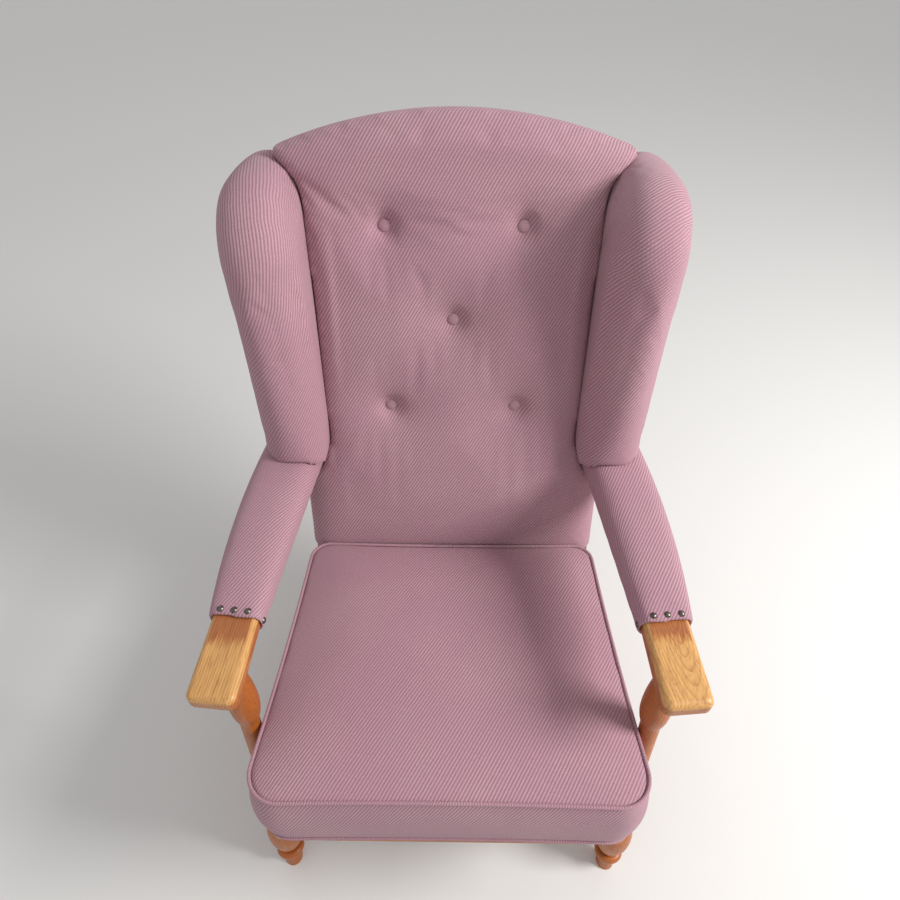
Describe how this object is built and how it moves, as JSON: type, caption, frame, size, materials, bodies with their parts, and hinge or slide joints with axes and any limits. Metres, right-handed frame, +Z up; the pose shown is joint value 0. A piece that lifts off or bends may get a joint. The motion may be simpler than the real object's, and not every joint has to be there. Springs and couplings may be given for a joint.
{
  "type": "wingback chair",
  "caption": "High-backed fireside armchair with a buttoned wing back, padded open arms on turned oak legs and a loose piped seat cushion that pulls out forward.",
  "frame": {"origin": "floor level under the middle of the chair's bounding box", "axes": "+Z up from the floor, +Y towards the back of the chair, +X to the right as seen facing its front"},
  "size_m": [0.6324, 0.7315, 1.0094],
  "materials": {
    "mauve_twill": "ribbed diagonal twill",
    "golden_oak": "worn satin lacquer",
    "frame_beech": "sawn and unfinished",
    "antique_brass": "dark aged",
    "zinc_steel": "zinc plated",
    "strap_rubber": "textile faced",
    "jute": "plain weave",
    "cushion_foam": "open-cell foam"
  },
  "bodies": {
    "frame": {"arm_dowels": "frame_beech", "arm_left": "golden_oak", "arm_nails_left": "antique_brass", "arm_nails_right": "antique_brass", "arm_pad_left": "mauve_twill", "arm_pad_right": "mauve_twill", "arm_right": "golden_oak", "back_buttons": "mauve_twill", "back_hessian": "jute", "back_pad": "mauve_twill", "back_rail": "golden_oak", "button_ties": "jute", "corner_blocks": "frame_beech", "crest_dowels": "frame_beech", "crest_rail": "frame_beech", "cross_webbing": "jute", "front_leg_left": "golden_oak", "front_leg_right": "golden_oak", "front_rail": "golden_oak", "leg_bolts": "zinc_steel", "lower_back_rail": "frame_beech", "outside_back_cover": "mauve_twill", "outside_wing_cover_left": "mauve_twill", "outside_wing_cover_right": "mauve_twill", "post_bolts": "zinc_steel", "rail_dowels": "frame_beech", "rear_post_left": "golden_oak", "rear_post_right": "golden_oak", "seat_straps": "strap_rubber", "side_rail_left": "golden_oak", "side_rail_right": "golden_oak", "strap_clips": "zinc_steel", "upright_webbing": "jute", "wing_board_left": "frame_beech", "wing_board_right": "frame_beech", "wing_pad_left": "mauve_twill", "wing_pad_right": "mauve_twill"},
    "seat_cushion": {"cushion_cover": "mauve_twill", "cushion_core": "cushion_foam", "cushion_piping": "mauve_twill"}
  },
  "joints": [
    {"name": "seat_cushion_slide", "type": "slide", "parent": "frame", "child": "seat_cushion", "axis": [0, -0.9952, 0.0976], "range_m": [0, 0.44]}
  ]
}
